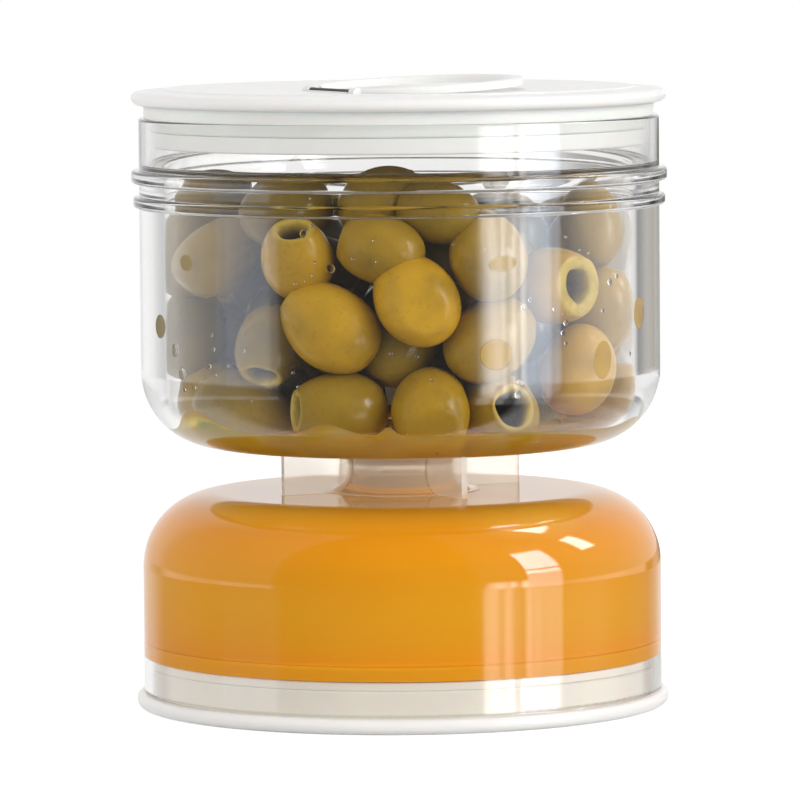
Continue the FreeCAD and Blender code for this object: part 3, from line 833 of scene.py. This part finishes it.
# -------- wetted patches and drops
PIXELS_PER_MM = 4.19
INSIDE_PIXELS = 240.0          # from the axis to where the wall's inside turns out of sight
LEAST_FACING = 0.25            # the wall counts as turned to the camera by at least this
PATCH_DEPTH, DROP_DEPTH = 0.22, 0.45
DROP_STRETCH = 1.1             # height over width of a drop
SPOT_ANGLE, SPOT_WELD = 60, 1e-7               # degrees; metres, joins both skins at the edge
# Where an olive lies against the wet wall, a film joins them: centre pixel, half width and half
# height in pixels, lean in degrees, tint
PATCHES = [(186, 261, 4.5, 8, -12, 0.12), (157.5, 321, 3.0, 12, -8, 0.05),
           (641.5, 307, 3.0, 16, -6, 0.65), (603, 358, 7, 19, -6, 0.70), (496, 354, 15, 15, 0, 0.5),
           (503, 263, 13, 7.5, 5, 0.5)]
# Drops on the inside of the wall: centre pixel and radius in pixels
DROPS = [(175, 347, 6.0), (182, 371, 5.5), (213, 348, 2.5), (209, 365, 2.8), (194, 385, 2.2),
         (215, 374, 1.6), (243, 350, 2.4), (250, 398, 1.8), (303, 233, 3.8), (331, 268, 4.2),
         (228, 365, 1.6), (184, 386, 1.4), (211, 334, 1.8), (293, 372, 1.6), (298, 386, 1.5),
         (391, 353, 1.6), (407, 310, 1.8), (417, 356, 2.0), (405, 431, 2.2), (444, 446, 1.4),
         (432, 379, 1.8), (518, 393, 3.4), (519, 381, 2.6), (524, 306, 3.2), (530, 299, 2.2),
         (555, 308, 2.4), (566, 322, 3.0), (563, 332, 2.6), (566, 342, 1.8), (610, 280, 3.2),
         (617, 274, 2.0), (603, 309, 1.8), (564, 313, 1.4), (566, 236, 1.6), (580, 249, 1.2),
         (589, 252, 1.2), (630, 350, 2.0), (453, 244, 1.4), (485, 249, 1.4), (373, 240, 1.4),
         (353, 258, 1.6), (376, 261, 1.2), (315, 262, 1.6), (313, 275, 1.4), (295, 283, 1.6),
         (305, 280, 1.2), (310, 198, 1.4), (312, 225, 1.5)]


def wall_point(turn, height, inset):
    """Point inset from the inside of the upper bowl's wall, towards the room inside it."""
    return polar(INNER_RADIUS - corner_inset(height, 0.5) - inset, turn, height)


def on_wall(name, spots, material, deep, around=28, rows=5):
    """Thin lens-shaped bodies lying on the inside of the wall. Spots are (pixel x, pixel y,
    half width, half height, lean in degrees, tint)."""
    half = 1 + rows * around
    verts, faces, tints_and_shades = [], [], []
    for px, py, wide, tall, lean, tint_and_shade in spots:
        centre = from_photo(px, py, INNER_RADIUS)
        middle = math.atan2(centre.y, centre.x)
        slant = math.radians(lean)
        first = len(verts)
        for side in (1, 0):
            for row in range(rows + 1):
                share = math.sin(math.pi / 2 * row / rows)
                bulge = side * deep * math.sqrt(max(1 - share * share, 0))
                for k in range(around if row else 1):
                    a = 2 * math.pi * k / around
                    x, z = wide * share * math.cos(a), tall * share * math.sin(a)
                    x, z = rotated(x, z, slant)
                    verts.append(wall_point(middle + x / INNER_RADIUS, centre.z + z, bulge - WET))
        for side in (0, 1):
            base = first + side * half
            for k in range(around):
                j = (k + 1) % around
                ring = [(base, base + 1 + k, base + 1 + j)]
                for row in range(rows - 1):
                    p, q = base + 1 + row * around, base + 1 + (row + 1) * around
                    ring.append((p + k, q + k, q + j, p + j))
                faces += [face[::-1] if side else face for face in ring]
        tints_and_shades += [tint_and_shade] * (2 * half)
    obj = add_mesh(name, verts, faces, material, smooth_angle=SPOT_ANGLE)
    point_values(obj, "tint_and_shade", tints_and_shades)
    face_outward(obj, weld=SPOT_WELD)
    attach(obj, "jar")
    return obj


def place_wall_spots():
    patches = []
    for px, py, wide, tall, lean, tint_and_shade in PATCHES:
        facing = math.sqrt(max(1 - ((px - AXIS_PIXEL) / INSIDE_PIXELS) ** 2, 0.0))
        patches.append((px, py, wide / PIXELS_PER_MM / max(LEAST_FACING, facing),
                        tall / PIXELS_PER_MM, lean, tint_and_shade))
    on_wall("olive_contact_films", patches, OLIVE, PATCH_DEPTH).visible_shadow = False
    drops = [(px, py, radius / PIXELS_PER_MM, radius * DROP_STRETCH / PIXELS_PER_MM, 0, 0)
             for px, py, radius in DROPS]
    on_wall("drops", drops, DROP, DROP_DEPTH)


place_wall_spots()

# -------- floor and world
FLOOR_RADIUS, FLOOR_SIDES = 1.0, 96            # metres
FLOOR_GLOW = 0.66              # light of its own that the camera sees, up to white
AMBIENT = 0.52                 # brightness of the world as matt surfaces see it
# The room round the keeper, as gloss and refraction see it: degrees right of the camera's side,
# then brightness or colour. Above the table's edge:
SKY_ROOM = [(-180, 1.0), (-160, 1.0), (-152, 0.92), (-146, 0.72), (-139, 0.5), (-134, 0.6),
            (-126, 1.25), (-90, 1.35), (-88, (1.75, 1.88, 2.15)), (-60, (1.75, 1.88, 2.15)),
            (-58, 0.35), (-40, 0.18), (30, 0.20), (36, 0.6), (76, 1.3), (90, 1.9), (110, 1.9),
            (120, 1.2), (135, 1.0), (140, 0.14), (145, 0.2), (149, (0.5, 0.48, 0.45)),
            (153, (0.64, 0.61, 0.56)), (158, (0.58, 0.55, 0.5)), (163, (0.38, 0.36, 0.32)),
            (170, (0.25, 0.24, 0.21)), (174, 0.3), (177, 1.0), (180, 1.0)]
# Below the table's edge:
TABLE_ROOM = [(-180, 1.0), (-145, 0.9), (-132, 0.40), (-88, 0.35), (-84, 0.5), (-57, 0.45),
              (-55, 0.20), (30, 0.18), (34.5, 0.4), (76, 0.7), (95, 0.8), (112, 0.35), (140, 0.35),
              (160, 0.9), (180, 1.0)]
# Overhead:
HIGH_ROOM = [(-180, 1.0), (-142, 0.9), (-128, 0.6), (-60, 0.6), (-58, 0.2), (-40, 0.15), (30, 0.15),
             (34.5, 0.35), (76, 0.5), (90, 0.7), (120, 0.8), (150, 1.0), (180, 1.0)]
# Panes of the window: seen in the upper bowl and the shoulder, and dimmer over the table's edge
NEAR_PANES = [(36, 0.0), (38.4, 3.4), (40.3, 5.0), (44.1, 7.6), (46, 5.4), (47.9, 3.6), (49.2, 7.8),
              (50.2, 7.8), (51.5, 1.6), (53.6, 1.8), (54.6, 8.6), (56.4, 8.6), (57.2, 0.0)]
FAR_PANES = [(56.6, 0.0), (57.2, (4.4, 4.8, 5.5)), (66, (3.8, 4.3, 5.0)), (74, (3.5, 4.0, 4.8)),
             (76, 0.0)]
TABLE_PANES = [(35, 0.0), (35.6, (2.6, 2.5, 2.3)), (39, (4.2, 4.1, 3.8)), (39.5, (4.2, 4.1, 3.8)),
               (42, (4.0, 3.9, 3.6)), (43, 1.8), (45.5, 2.2), (46.5, (4.2, 4.1, 3.9)),
               (49, (4.0, 3.9, 3.7)), (49.6, 1.2), (53, 1.0), (53.6, 0.6), (55.8, 0.6), (56.6, 4.6),
               (58.4, 4.0), (59, 3.0), (63, 3.2), (65, 2.2), (68, 2.6), (70, 2.3), (74, 2.4),
               (76, 0.0)]
# The table: white beyond the keeper, where it shows through the bowls, darker on the near side
TABLE_TOP = [(-180, 1.0), (-100, 1.0), (-88, 0.4), (-60, 0.3), (-40, 0.1), (35, 0.1), (54, 0.15),
             (62, 1.3), (88, 1.4), (100, 1.0), (180, 1.0)]
# Heights of a direction, from -1 straight down to 1 straight up, between which one room or
# table gives way to the next
TABLE_EDGE, OVERHEAD, TABLE_FADE = (-0.0935, -0.0885), (-0.038, -0.02), (-0.30, -0.22)
# Brightness of the near and far panes by such a height
NEAR_HEIGHTS = [(-0.36, 0.0), (-0.34, 1.0), (0.0, 1.0), (0.05, 0.0)]
FAR_HEIGHTS = [(-0.36, 0.0), (-0.34, 1.0), (0.16, 1.0), (0.18, 2.6), (0.24, 2.6), (0.25, 0.4),
               (0.27, 0.4), (0.28, 2.8), (0.60, 2.8), (0.64, 0.0)]
# Two high openings: left and right side in degrees, lowest and highest height, brightness
HIGH_PANES = [(97, 106, 0.46, 0.66, 13.0), (104, 122, 0.80, 0.87, 13.0)]
SIDE_FADE, END_FADE = 1.5, 0.02                # degrees, and height


def pale_floor():
    s = Shader("pale_floor")
    s.set(Roughness=0.9, Specular_IOR_Level=0.0)
    s.feed("Base Color", s.mottled(3, (0.60, 0.60, 0.60), (0.62, 0.62, 0.62), detail=2))
    path = s.node("ShaderNodeLightPath")
    glow = s.node("ShaderNodeEmission", {"Color": (1, 1, 1, 1), "Strength": FLOOR_GLOW})
    nothing = s.node("ShaderNodeEmission", {"Color": (0, 0, 0, 1), "Strength": 0.0})
    gate = s.mix_shader(path.outputs["Is Camera Ray"], nothing.outputs[0], glow.outputs[0])
    both = s.node("ShaderNodeAddShader", {0: s.principled.outputs[0], 1: gate})
    s.links.new(both.outputs[0], s.surface)
    edge = [polar(FLOOR_RADIUS, 2 * math.pi * k / FLOOR_SIDES, 0) for k in range(FLOOR_SIDES)]
    floor = add_mesh("floor", edge, [tuple(range(FLOOR_SIDES))], s.material, scale=1.0)
    floor.visible_glossy = floor.visible_transmission = False


def studio_world():
    """White to the camera, plain light to matt surfaces, and the room to gloss and refraction."""
    world = bpy.data.worlds.new("studio")
    scene.world = world
    world.use_nodes = True
    w = Nodes(world.node_tree)
    w.nodes.clear()
    direction = w.node("ShaderNodeTexCoord").outputs["Generated"]
    spin = w.node("ShaderNodeVectorRotate", {"Vector": direction, "Angle": -CAM_TURN},
                  rotation_type="Z_AXIS")
    parts = w.node("ShaderNodeSeparateXYZ", {0: spin.outputs[0]})
    azimuth = w.math("ARCTAN2", parts.outputs["Y"], parts.outputs["X"])
    share = w.span(azimuth, 0.0, 1.0, -math.pi, math.pi)
    height = parts.outputs["Z"]
    height_share = w.span(height, 0.0, 1.0, -1.0, 1.0)

    def by_turn(stops):
        return w.ramp(share, [(0.5 + degrees / 360.0, colour) for degrees, colour in stops])

    def by_height(stops):
        return w.ramp(height_share, [((z + 1) / 2, value) for z, value in stops])

    def over(heights):
        """0 below the first of two heights, 1 above the second."""
        return w.span(height, 0.0, 1.0, *heights)

    def product(a, b):
        return w.mix(1.0, a, b, "MULTIPLY")

    above_table = over(TABLE_EDGE)
    surround = w.mix(above_table, by_turn(TABLE_ROOM), by_turn(SKY_ROOM))
    surround = w.mix(over(OVERHEAD), surround, by_turn(HIGH_ROOM))
    near = w.mix(above_table, by_turn(TABLE_PANES), by_turn(NEAR_PANES))
    far = w.mix(above_table, (0.0, 0.0, 0.0), by_turn(FAR_PANES))
    lights = [product(near, by_height(NEAR_HEIGHTS)), product(far, by_height(FAR_HEIGHTS))]
    for left, right, low, high, level in HIGH_PANES:
        wide = [(left - SIDE_FADE, 0.0), (left, level), (right, level), (right + SIDE_FADE, 0.0)]
        tall = [(low - END_FADE, 0.0), (low, 1.0), (high, 1.0), (high + END_FADE, 0.0)]
        lights.append(product(by_turn(wide), by_height(tall)))
    for light in lights:
        surround = w.mix(1.0, surround, light, "ADD")
    below = w.span(height, 1.0, 0.0, *TABLE_FADE)
    surround = w.mix(below, surround, by_turn(TABLE_TOP))
    path = w.node("ShaderNodeLightPath")
    room = w.node("ShaderNodeBackground", {"Color": surround, "Strength": 1.0})
    white = w.node("ShaderNodeBackground", {"Color": (1, 1, 1, 1), "Strength": 1.0})
    plain = w.node("ShaderNodeBackground", {"Color": (1, 0.99, 0.98, 1), "Strength": AMBIENT})
    backdrop = w.mix_shader(path.outputs["Is Camera Ray"], plain.outputs[0], white.outputs[0])
    mirrored = w.math("MAXIMUM", path.outputs["Is Glossy Ray"], path.outputs["Is Transmission Ray"])
    w.node("ShaderNodeOutputWorld", {0: w.mix_shader(mirrored, backdrop, room.outputs[0])})


pale_floor()
studio_world()

# -------- lamps
LAMP_AIM = Vector((0, 0, 0.08))                # metres
# Name, degrees right of the camera, degrees up, distance and size in metres, watts, colour
LAMPS = [("window_light", 54, 22, 1.4, 0.9, 12.2, (1.0, 0.99, 0.97)),
         ("fill_light", -50, 10, 1.5, 1.1, 7.6, (1.0, 0.99, 0.98)),
         ("left_light", -115, 6, 1.5, 1.0, 4.0, (1, 1, 1)),
         ("back_light", 190, 30, 1.5, 1.0, 4.0, (1, 1, 1))]

for name, turn, rise, distance, size, watts, colour in LAMPS:
    elevation = math.radians(rise)
    back = Vector(polar(math.cos(elevation), CAM_TURN + math.radians(turn), math.sin(elevation)))
    light = bpy.data.lights.new(name, "AREA")
    light.shape, light.size, light.energy, light.color = "SQUARE", size, watts, colour
    lamp = bpy.data.objects.new(name, light)
    lamp.location = LAMP_AIM + back * distance
    lamp.rotation_mode = "QUATERNION"
    lamp.rotation_quaternion = (-back).to_track_quat("-Z", "Y")
    lamp.visible_glossy = lamp.visible_transmission = lamp.visible_camera = False
    scene.collection.objects.link(lamp)

scene.view_settings.view_transform = "Standard"
scene.cycles.max_bounces = 16
scene.cycles.transmission_bounces = 14
scene.cycles.transparent_max_bounces = 24
